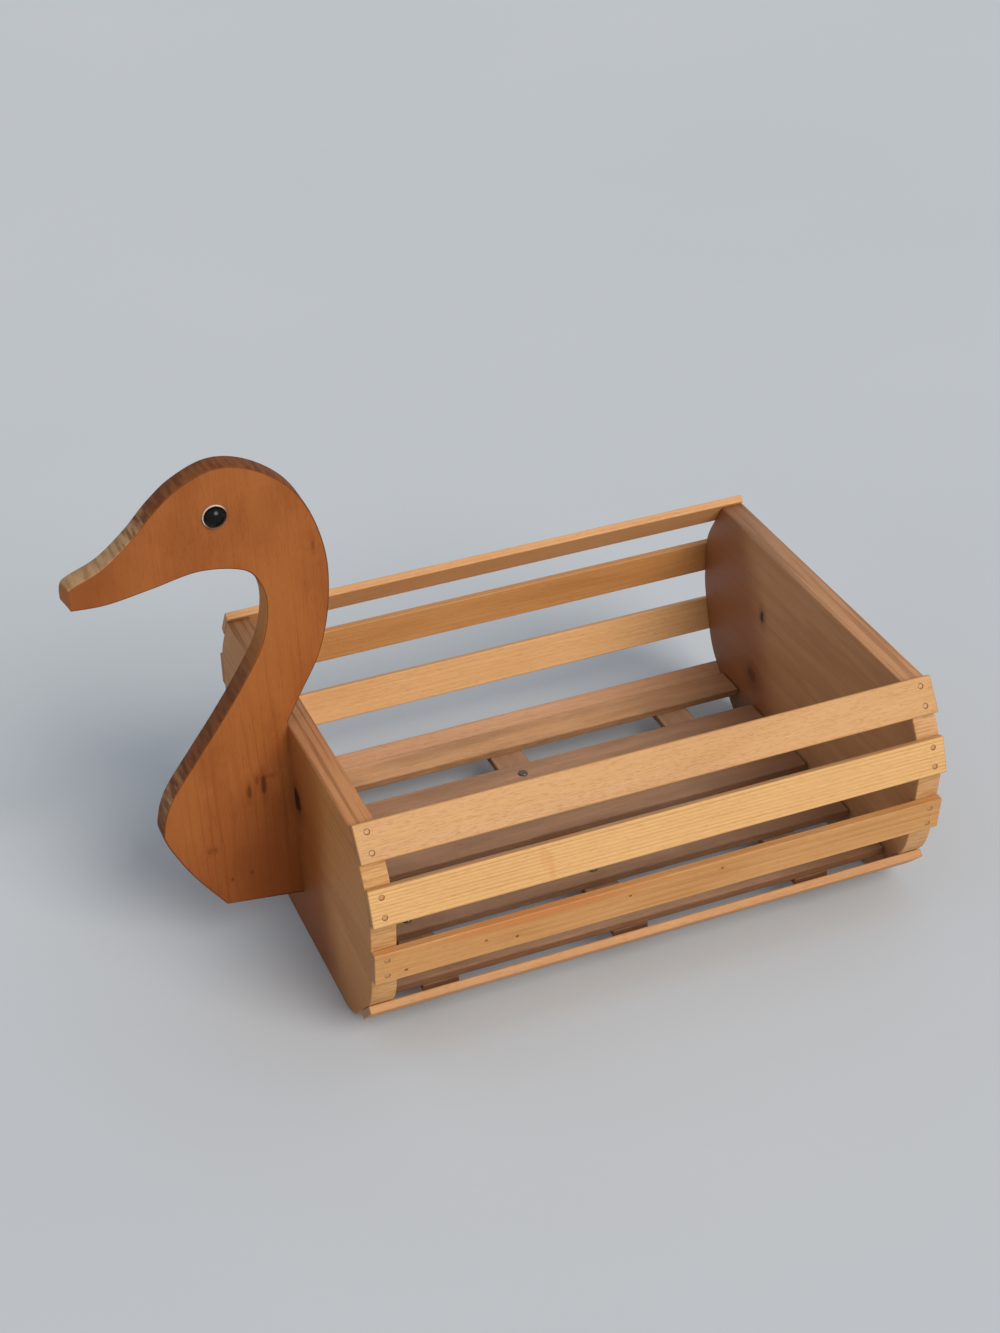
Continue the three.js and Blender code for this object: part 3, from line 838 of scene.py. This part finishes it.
def half_outline(side):
    last = len(ROW_LEANS[side]) - 1
    heel = at_height(side, last, 0.0)
    round_start = heel - Vector((FOOT_ROUND, 0))
    round_end = heel + seat_direction(side, last) * FOOT_ROUND
    half = [Vector((0.0, 0.0)), round_start] + curve_points(round_start, heel, round_end)
    for row in range(last, -1, -1):
        middle = seat_middle(side, row)
        reach = seat_direction(side, row) * SLAT_WIDTH / 2
        if row == last:
            half.append(middle - reach)
        else:
            half += curve_points(half[-1], crossing(side, row, row + 1), middle - reach)
        half.append(at_height(side, 0, PANEL_TOP) if row == 0 else middle + reach)
    half.append(Vector((0.0, PANEL_TOP)))
    return half


def panel_outline():
    mirrored = [Vector((-point.x, point.y)) for point in reversed(half_outline("left")[1:-1])]
    return half_outline("right") + mirrored


outline = panel_outline()
print("panel outline points:", len(outline))

# %% End panels
PANEL_KNOTS = {
    "front": [((FRONT_FACE, -0.015, 0.1225), (0.02, 0.0080, 0.0100), 0.9),
              ((FRONT_FACE, 0.085, 0.070), (0.02, 0.0060, 0.0045), 0.9)],
    "rear": [((rear_low.x, 0.068, 0.121), (0.02, 0.0030, 0.0050), 0.95),
             ((rear_low.x, 0.082, 0.060), (0.02, 0.0075, 0.0065), 0.45),
             ((rear_high.x, -0.070, 0.100), (0.006, 0.0080, 0.0060), 0.9)],
}
PANEL_LOOKS = {
    "front": dict(seed=2.3, early=tone(192, 132, 77), late=tone(152, 94, 46), heart=tone(138, 70, 25),
                  heart_share=0.80, reddish_zone_of=front_heartwood, specular=0.10, coat=0.0),
    "rear": dict(seed=7.9, early=tone(203, 151, 104), late=tone(161, 110, 66), heart=tone(138, 76, 34),
                 heart_share=0.72, reddish_zone_of=rear_dark_zone, specular=VARNISH_SPECULAR,
                 coat=VARNISH_COAT),
}
for end, face in (("front", FRONT_FACE), ("rear", REAR_FACE - PANEL_THICKNESS)):
    middle = face + PANEL_THICKNESS / 2
    board = sawn_board(outline, PANEL_THICKNESS, PANEL_EASE, lambda y, z, depth: (middle + depth, y, z))
    wood = panel_wood(f"panel_wood_{end}", knots=PANEL_KNOTS[end], **PANEL_LOOKS[end])
    panel = add_piece(f"{end}_panel_board", board, wood, [f"{end}_panel"])
    print(panel.name, "faces:", len(panel.data.polygons))

# %% [markdown]
# ## Swan board
# The head, neck and breast are one board, stained redder than the pine. A freehand curve on wood is best
# drawn as a spline through a few well-chosen points, and the back edge stays straight where it meets the
# front panel. The stain is deepest on the sawn edges. It stayed lighter in the hollow of the throat and on
# the beak's end, and it has worn off along the top of the beak and a little on the breast.


# %% Swan outline
def spline(points, steps=8):
    """Points of a smooth curve through the given points, without the first one."""
    made = []
    last = len(points) - 1
    for span in range(last):
        before = points[max(span - 1, 0)]
        start, end = points[span], points[span + 1]
        after = points[min(span + 2, last)]
        leave, arrive = (end - before) / 2, (after - start) / 2
        for step in range(1, steps + 1):
            t = step / steps
            bend = (start - end) * 2 + leave + arrive
            pull = (end - start) * 3 - leave * 2 - arrive
            made.append(((bend * t + pull) * t + leave) * t + start)
    return made


def swan_point(ahead, above):
    return Vector((FRONT_FACE - ahead * MM, PANEL_TOP + above * MM))


BEAK_TIP = swan_point(136.5, 127)
CROWN_TO_NAPE = [swan_point(*pair) for pair in (
    (135.6, 135.2), (131, 140.2), (110, 149), (90, 164.5), (74, 180.5), (56, 194), (32, 202.5), (8, 197.5),
    (-15.5, 180.5), (-30, 156), (-38, 121.5), (-36, 83.5), (-27, 50), (-12, 22.5), (0, 1),
)]
BOARD_HEEL = swan_point(0, -143.5)
BOARD_TOE = swan_point(56, -136.5)
BREAST_TO_CHIN = [swan_point(*pair) for pair in (
    (77.5, -105), (92.5, -74), (93.5, -60), (86, -39), (66.5, -12.5), (47, 13), (27, 41.5), (12, 67.5),
    (6, 95), (9.5, 114.5), (20, 126), (48, 131.5), (80, 126.5), (110, 122.3), (134, 123.4),
)]
BOARD_EASE = 1.4 * MM
board_low, board_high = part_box("swan_board")
half_board = (board_high.y - board_low.y) / 2
chin_round = curve_points(BREAST_TO_CHIN[-1], Vector((BEAK_TIP.x, BREAST_TO_CHIN[-1].y)), BEAK_TIP)
swan_outline = [BEAK_TIP] + spline([BEAK_TIP] + CROWN_TO_NAPE) + [BOARD_HEEL, BOARD_TOE]
swan_outline += spline([BOARD_TOE] + BREAST_TO_CHIN) + chin_round[:-1]
swan_outline.reverse()
print("swan outline points:", len(swan_outline))


# %% Stain on the face of the swan board
def face_stain(graph, place, axes, wood):
    """Slow clouds and amber patches, a darker beak, and a deep tone low down beside the panel, partly stain
    and partly painted shade.
    """
    cloud = graph.patches(place, (34.0, 34.0, 22.0), 0.40, 0.64, detail=5.0)
    colour = graph.tint(wood, cloud, tone(134, 71, 29), share=0.45)
    amber = graph.patches(place, (24.0, 24.0, 9.0), 0.48, 0.66, detail=3.0)
    colour = graph.tint(colour, amber, tone(165, 101, 51), share=0.45)
    beak = graph.ease(axes["X"], FRONT_FACE - 0.125, FRONT_FACE - 0.065, 1.0, 0.0)
    colour = graph.tint(colour, beak, tone(122, 66, 29), share=0.45)
    # Low down beside the front panel the board darkens: partly deeper stain, partly painted shade from the
    # panel.
    low_down = graph.ease(axes["Z"], 0.045, 0.170, 1.0, 0.0)
    near_panel = graph.ease(axes["X"], FRONT_FACE - 0.10, FRONT_FACE, 0.40, 0.85)
    return graph.tint(colour, graph.times(low_down, near_panel), tone(120, 51, 12), share=0.55)


# %% Stain on the sawn edges of the swan board
def edge_stain(graph, axes, faces, sawn):
    """The colour of the sawn edges, and a mask of where the beak and the breast are worn bare on top."""
    colour = graph.mix(sawn["Saw Marks"], tone(121, 69, 33), tone(92, 49, 21))
    above_breast = graph.ease(axes["Z"], 0.215, 0.270)
    below_head = graph.ease(axes["Z"], 0.288, 0.302, 1.0, 0.0)
    on_neck = graph.ease(axes["X"], FRONT_FACE - 0.055, FRONT_FACE - 0.035)
    ahead = graph.ease(faces["X"], -0.3, 0.1, 1.0, 0.0)
    throat = graph.times(graph.times(above_breast, below_head), graph.times(on_neck, ahead))
    colour = graph.tint(colour, throat, tone(184, 116, 56), share=0.9)
    beak_end = graph.ease(axes["X"], BEAK_TIP.x + 4 * MM, BEAK_TIP.x + 10 * MM, 1.0, 0.0)
    colour = graph.tint(colour, beak_end, tone(176, 104, 42), share=0.85)
    ragged = graph.times(graph.minus(sawn["Saw Marks"], 0.5), 12 * MM)
    worn_from = graph.plus(axes["X"], ragged)
    worn_along = graph.ease(worn_from, FRONT_FACE - 0.100, FRONT_FACE - 0.072, 1.0, 0.0)
    worn_up = graph.ease(faces["Z"], 0.2, 0.5)
    less_on_breast = graph.ease(axes["Z"], 0.15, 0.25, 0.85, 1.0)
    worn = graph.times(graph.times(worn_along, worn_up), less_on_breast)
    bare = graph.mix(sawn["Saw Marks"], tone(178, 144, 104), tone(152, 117, 81))
    return graph.tint(colour, worn, bare, share=0.9), worn


# %% Material: stained swan board
BOARD_MARKS = [
    ((31.5, -47.0), (1.5, 6.0), 0.50), ((21.0, -44.0), (1.7, 8.0), 0.65), ((17.0, -37.5), (4.0, 1.2), 0.20),
    ((25.5, -39.0), (1.0, 4.0), 0.30), ((62.0, -88.0), (4.0, 2.4), 0.22),
    ((50.5, -116.0), (1.0, 1.1), 0.50), ((36.0, -114.2), (0.9, 1.0), 0.50),
    ((-29.0, 133.0), (1.0, 5.0), 0.25),
]
MARK_REACH_IN = 12 * MM
MARK_BEND = 0.4
MARK_HALO = 0.7
BOARD_SPECULAR = 0.12
BOARD_COAT = 0.02
BOARD_RELIEF = 0.2 * MM


def stained_board():
    """Stained wood with marks on its left face, given as (ahead, above), (width, height) and depth."""
    material, graph, shader, coordinates = start_material("stained_swan_board")
    place = coordinates["Object"]
    axes = graph.parts(place)
    rows = []
    for at, (wide, tall), depth in BOARD_MARKS:
        spot = swan_point(*at)
        reach = (wide * MM, MARK_REACH_IN, tall * MM)
        rows.append(((spot.x, -half_board, spot.y), reach, at[0] * MM, MARK_BEND))
    knots, bulge = place_knots(graph, place, rows)
    timber = place_group(graph, timber_tree, {
        "Position": graph.join(axes["Z"], axes["Y"], axes["X"]), "Pith": (0.0, -0.045, FRONT_FACE + 0.11),
        "Ring Width": 0.0068, "Wander": 0.022, "Bulge": bulge, "Seed": 5.1, "Early": tone(158, 92, 45),
        "Late": tone(114, 56, 21), "Late Start": 0.62, "Streak Depth": 0.14, "Pore Depth": 0.25,
        "Ring Depth": graph.ease(axes["Z"], 0.22, 0.33, 0.42, 0.12), "Blotch Depth": 0.0,
    })
    sawn = place_group(graph, sawn_tree, {
        "Position": place, "Normal": coordinates["Normal"], "Face Axis": (0.0, 1.0, 0.0),
        "Mark Stretch": (240.0, 45.0, 240.0),
    })
    colour = face_stain(graph, place, axes, timber["Color"])
    depths = [(MARK_HALO * depth, depth) for at, size, depth in BOARD_MARKS]
    colour = paint_knots(graph, colour, knots, depths, tone(104, 50, 19), tone(66, 30, 12))
    edge_colour, worn = edge_stain(graph, axes, graph.parts(coordinates["Normal"]), sawn)
    bleed = graph.times(sawn["Arris"], graph.ease(worn, 0.0, 0.5, 1.0, 0.0))
    colour = graph.tint(colour, bleed, tone(92, 46, 20), share=0.75)
    colour = graph.tint(colour, sawn["Edge"], edge_colour, share=0.92)
    roughness = graph.ease(sawn["Edge"], 0.0, 1.0, 0.45, 0.66)
    height = graph.plus(timber["Height"], graph.times(sawn["Edge"], sawn["Saw Marks"]))
    finish_wood(graph, shader, colour, roughness, height, BOARD_RELIEF, BOARD_SPECULAR, BOARD_COAT)
    return material


# %% Swan board
BEAK_CUT = math.radians(11.5)
BEAK_CUT_RELIEF = 0.2 * MM
GLUED_TOP = PANEL_TOP + 2 * MM
GLUED_FROM = FRONT_FACE - 1.01 * BOARD_EASE


def swan_space(x, z, depth):
    """The beak's end is cut out of square, with a shorter left face, and the glued edge is left sharp."""
    y = -depth
    beak_end = BEAK_TIP.x + BEAK_CUT_RELIEF + (half_board - BOARD_EASE - y) * math.tan(BEAK_CUT)
    if z < GLUED_TOP and x > GLUED_FROM:
        x = FRONT_FACE
    return (max(x, beak_end, board_low.x), y, min(z, board_high.z))


swan_shape = sawn_board(swan_outline, 2 * half_board, BOARD_EASE, swan_space)
swan = add_piece("swan_head_board", swan_shape, stained_board(), ["swan_board"])
print(swan.name, "faces:", len(swan.data.polygons))

# %% [markdown]
# ## Bead eyes
# Each eye is a glossy black dome in a pale ring, whose lower side is darkened with painted shade. The gloss
# comes from the shader and the lights alone: a smooth surface picks up the bright key light as the small
# highlight that makes the eye look alive.


# %% Materials: bead and ring
BEAD_SPECULAR = 0.20
SHADE_SLANT = 0.7


def bead_black():
    material, graph, shader, coordinates = start_material("bead_black_gloss")
    speck = graph.noise(coordinates["Object"], (900.0, 900.0, 900.0))
    colour = graph.mix(speck, tone(3, 3, 3), tone(9, 7, 7))
    paint(graph, shader, colour, graph.ease(speck, 0.3, 0.8, 0.14, 0.20))
    shader.inputs["Specular IOR Level"].default_value = BEAD_SPECULAR
    return material


def ring_ivory():
    material, graph, shader, coordinates = start_material("eye_ring_ivory")
    axes = graph.parts(coordinates["Object"])
    stain = graph.patches(coordinates["Object"], (500.0, 500.0, 500.0), 0.45, 0.70, detail=3.0)
    clean = graph.tint(tone(196, 182, 164), stain, tone(150, 122, 94), share=0.5)
    # Painted shade: the ring's colour darkens towards its lower side, where less light falls on it.
    slanted = graph.plus(axes["Z"], graph.times(axes["X"], SHADE_SLANT))
    painted_shade = graph.ease(slanted, -4 * MM, 4 * MM, 1.0, 0.0)
    colour = graph.tint(clean, painted_shade, tone(86, 56, 36), share=0.85)
    paint(graph, shader, colour, graph.ease(stain, 0.0, 1.0, 0.35, 0.55))
    return material


# %% Eyes
EYE_STEPS = 48
DOME_STEPS = 12
RING_STEPS = 8
RING_GAP = 0.1 * MM
RING_UPRIGHT = 0.45
WELD_REACH = 0.01 * MM
bead = bead_black()
ring = ring_ivory()
for side, facing in (("left", -1), ("right", 1)):
    eye_low, eye_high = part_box(f"{side}_eye")
    ring_low, ring_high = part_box(f"{side}_eye_ring")
    eye_radius = (eye_high.x - eye_low.x) / 2
    bulge_height = eye_high.y - eye_low.y
    ring_outer = (ring_high.x - ring_low.x) / 2
    ring_height = ring_high.y - ring_low.y
    middle = (eye_low + eye_high) / 2
    middle.y = facing * half_board
    place = Matrix.Translation(middle)
    if facing < 0:
        place = place @ Matrix.Rotation(math.pi, 4, "Z")
    angles = [step / DOME_STEPS * math.pi / 2 for step in range(DOME_STEPS)]
    dome = [(eye_radius * math.cos(a), bulge_height * math.sin(a)) for a in angles]
    bead_shape = turned([(0, 0)] + dome + [(0, bulge_height)], EYE_STEPS)
    add_piece(f"{side}_bead", bead_shape, bead, [f"{side}_eye"], place)
    ring_inner = eye_radius + RING_GAP
    wall = (ring_outer - ring_inner) / 2
    crown = [
        (ring_inner + wall * (1 - math.cos(t)),
         ring_height * (RING_UPRIGHT + (1 - RING_UPRIGHT) * math.sin(t)))
        for t in [step / RING_STEPS * math.pi for step in range(RING_STEPS + 1)]
    ]
    loop = [(ring_inner, 0)] + crown + [(ring_outer, 0), (ring_inner, 0)]
    collar = turned(loop, EYE_STEPS)
    bmesh.ops.remove_doubles(collar, verts=collar.verts[:], dist=WELD_REACH)
    add_piece(f"{side}_eye_collar", collar, ring, [f"{side}_eye_ring"], place)
print("eye radius in mm:", round(eye_radius / MM, 1))

# %% [markdown]
# ## Floor rack
# Inside the tub, five slats lie on three cross battens. They are the same strip as the sides, dulled in
# patches by soil and water. The far slat, floor_slat_5, takes paler tones as painted light where more light
# reaches it, and every floor piece is darker towards one end.


# %% Material: worn floor pine
FLOOR_RUB_WIDTH = 1.8 * MM
FLOOR_RELIEF = 0.3 * MM


def floor_pine(name, half_size, seed, early, late):
    material, graph, shader, coordinates = start_material(name)
    place = coordinates["Object"]
    timber = place_group(graph, timber_tree, {
        "Position": place, "Pith": (0.0, -0.045, 0.012), "Ring Width": 0.0050, "Wander": 0.008,
        "Bulge": 0.0, "Seed": seed, "Early": early, "Late": late, "Late Start": 0.25, "Ring Depth": 0.40,
        "Streak Depth": 0.30, "Pore Depth": 0.35, "Blotch Depth": 0.60,
    })
    rub = place_group(graph, rub_tree, {
        "Position": place, "Half Size": half_size, "Width": FLOOR_RUB_WIDTH, "Seed": seed,
    })
    dulled = graph.patches(place, (14.0, 60.0, 60.0), 0.40, 0.68, detail=4.0)
    # The colour darkens towards one end of each piece, the rear end of a floor slat.
    darker_end = graph.ease(graph.parts(place)["X"], 0.090, 0.185)
    colour = graph.tint(timber["Color"], dulled, tone(128, 104, 84), share=0.35)
    colour = graph.tint(colour, rub["Edge"], tone(104, 66, 42), share=0.55)
    colour = graph.tint(colour, darker_end, tone(124, 78, 44), share=0.55)
    roughness = graph.ease(dulled, 0.0, 1.0, 0.52, 0.72)
    finish_wood(graph, shader, colour, roughness, timber["Height"], FLOOR_RELIEF)
    return material


# %% Floor slats and battens
FACE_UP = Matrix.Rotation(math.pi / 2, 4, "X")
ACROSS = Matrix.Rotation(math.pi / 2, 4, "Z")
RACK_SEED = 11.3
DULL_TONES = (tone(183, 141, 108), tone(142, 103, 74))
PAINTED_LIGHT_TONES = (tone(212, 164, 118), tone(172, 122, 80))
rack = [(f"floor_slat_{number}", FACE_UP) for number in range(1, 6)]
rack += [(f"floor_batten_{number}", ACROSS @ FACE_UP) for number in range(1, 4)]
for number, (node, turn) in enumerate(rack):
    low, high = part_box(node)
    length = max(high.x - low.x, high.y - low.y)
    size = (length, SLAT_THICKNESS, SLAT_WIDTH)
    # Painted light: floor_slat_5 takes paler tones that stand in for the extra light reaching the far floor
    # slat.
    early, late = PAINTED_LIGHT_TONES if node == "floor_slat_5" else DULL_TONES
    wood = floor_pine(f"pine_{node}", Vector(size) / 2, RACK_SEED + number, early, late)
    place = Matrix.Translation((low + high) / 2) @ turn
    add_piece(f"{node}_strip", eased_bar(size, SLAT_EASE), wood, [node], place)
print("floor rack pieces:", len(rack))

# %% [markdown]
# ## Floor nails
# Three round nail heads show on the floor, where its slats cross the battens. They stand proud of the wood,
# so each one gets a domed head with a shank under it.

# %% Floor nails
FLOOR_HEAD_RADIUS = 3.6 * MM
FLOOR_HEAD_HEIGHT = 1.6 * MM
FLOOR_NAIL_LENGTH = 11 * MM
FLOOR_SHANK_RADIUS = 1.2 * MM
FLOOR_NAILS = ("floor_nail_1", "floor_nail_2", "floor_nail_3")
for node in FLOOR_NAILS:
    low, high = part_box(node)
    middle = (low + high) / 2
    place = Matrix.Translation((middle.x, middle.y, high.z - FLOOR_HEAD_HEIGHT)) @ FACE_UP
    head = nail_shape(FLOOR_HEAD_RADIUS, FLOOR_HEAD_HEIGHT, FLOOR_SHANK_RADIUS, FLOOR_NAIL_LENGTH)
    add_piece(f"{node}_wire", head, steel, [node], place)
print("floor nails made:", len(FLOOR_NAILS))

# %% [markdown]
# ## Board screws
# Two screws come through the front panel from inside and hold the swan board. Their heads are only seen
# from behind, but a slot across each one is quick to cut and says at once what it is.

# %% Board screws
SCREW_HEAD_RADIUS = 4.4 * MM
SCREW_HEAD_HEIGHT = 2.4 * MM
SCREW_SHANK_RADIUS = 2.1 * MM
SCREW_LENGTH = 45 * MM
SLOT_WIDTH = 1.1 * MM
SLOT_DEPTH = 1.2 * MM
BOARD_SCREWS = ("board_screw_upper", "board_screw_lower")
for node in BOARD_SCREWS:
    low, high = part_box(node)
    middle = (low + high) / 2
    place = Matrix.Translation((FRONT_FACE + PANEL_THICKNESS, middle.y, middle.z))
    place = place @ Matrix.Rotation(-math.pi / 2, 4, "Z")
    screw_shape = nail_shape(SCREW_HEAD_RADIUS, SCREW_HEAD_HEIGHT, SCREW_SHANK_RADIUS, SCREW_LENGTH)
    screw = add_piece(f"{node}_turned", screw_shape, steel, [node], place)
    slot_shape = plain_box((3 * SCREW_HEAD_RADIUS, 2 * SLOT_DEPTH, SLOT_WIDTH))
    bmesh.ops.translate(slot_shape, vec=(0, SCREW_HEAD_HEIGHT, 0), verts=slot_shape.verts)
    bore(screw, slot_shape)
print("board screws made:", len(BOARD_SCREWS))

# %% [markdown]
# ## Floor, light and background
# In the photograph the planter stands on pale grey ground, in soft light from the viewer's side and a
# little from the right. A lamp near the part would leave a bright patch on the floor, so the key is a sun
# lamp: its light is even everywhere, and a wide angle gives it the soft shadow edges of a large panel. The
# sky is an even, slightly blue fill, so the faces that look left stay in shade as in the photograph.

# %% Plain pale floor
FLOOR_ROUGHNESS = 0.85
FLOOR_REACH = 9.0
floor_material, graph, shader, coordinates = start_material("plain_pale_floor")
cloud = graph.noise(coordinates["Object"], (1.3, 1.3, 1.3), detail=3.0)
floor_colour = graph.mix(cloud, tone(186, 190, 194), tone(196, 199, 202))
paint(graph, shader, floor_colour, FLOOR_ROUGHNESS)
floor_shape = bmesh.new()
bmesh.ops.create_grid(floor_shape, x_segments=4, y_segments=4, size=FLOOR_REACH)
studio_floor = new_object("studio_floor", new_mesh("studio_floor", floor_shape))
studio_floor.data.materials.append(floor_material)
print("floor, metres from edge to edge:", 2 * FLOOR_REACH)

# %% Lights and sky
KEY_FROM = Vector((0.246, -0.754, 0.609))
KEY_STRENGTH = 2.5
KEY_ANGLE = math.radians(35)
KEY_TINT = (1.0, 0.94, 0.86)
KEY_DISTANCE = 3.0
key_data = bpy.data.lights.new("key_sun", "SUN")
key_data.energy = KEY_STRENGTH
key_data.angle = KEY_ANGLE
key_data.color = KEY_TINT
key = new_object("key_sun", key_data)
key.location = KEY_FROM * KEY_DISTANCE
key.rotation_euler = (-KEY_FROM).to_track_quat("-Z", "Y").to_euler()

SKY_TINT = (0.86, 0.94, 1.04, 1.0)
SKY_STRENGTH = 0.55
BACKDROP_TINT = tone(205, 209, 212)
world = bpy.data.worlds.new("soft_sky")
world.use_nodes = True
bpy.context.scene.world = world
world.node_tree.nodes.clear()
sky = Graph(world.node_tree)
ray = world.node_tree.nodes.new("ShaderNodeLightPath").outputs
mirrored_or_through = sky.math("MAXIMUM", ray["Is Glossy Ray"], ray["Is Transmission Ray"])
seen = sky.math("MAXIMUM", ray["Is Camera Ray"], mirrored_or_through)
sky_colour = sky.mix(seen, SKY_TINT, BACKDROP_TINT)
sky_strength = sky.plus(sky.times(seen, 1.0 - SKY_STRENGTH), SKY_STRENGTH)
background = sky.node("ShaderNodeBackground", {"Color": sky_colour, "Strength": sky_strength})
sky.node("ShaderNodeOutputWorld", {"Surface": background.outputs["Background"]})
bpy.context.scene.view_settings.view_transform = "Standard"
print("key strength:", KEY_STRENGTH, "sky strength:", SKY_STRENGTH)
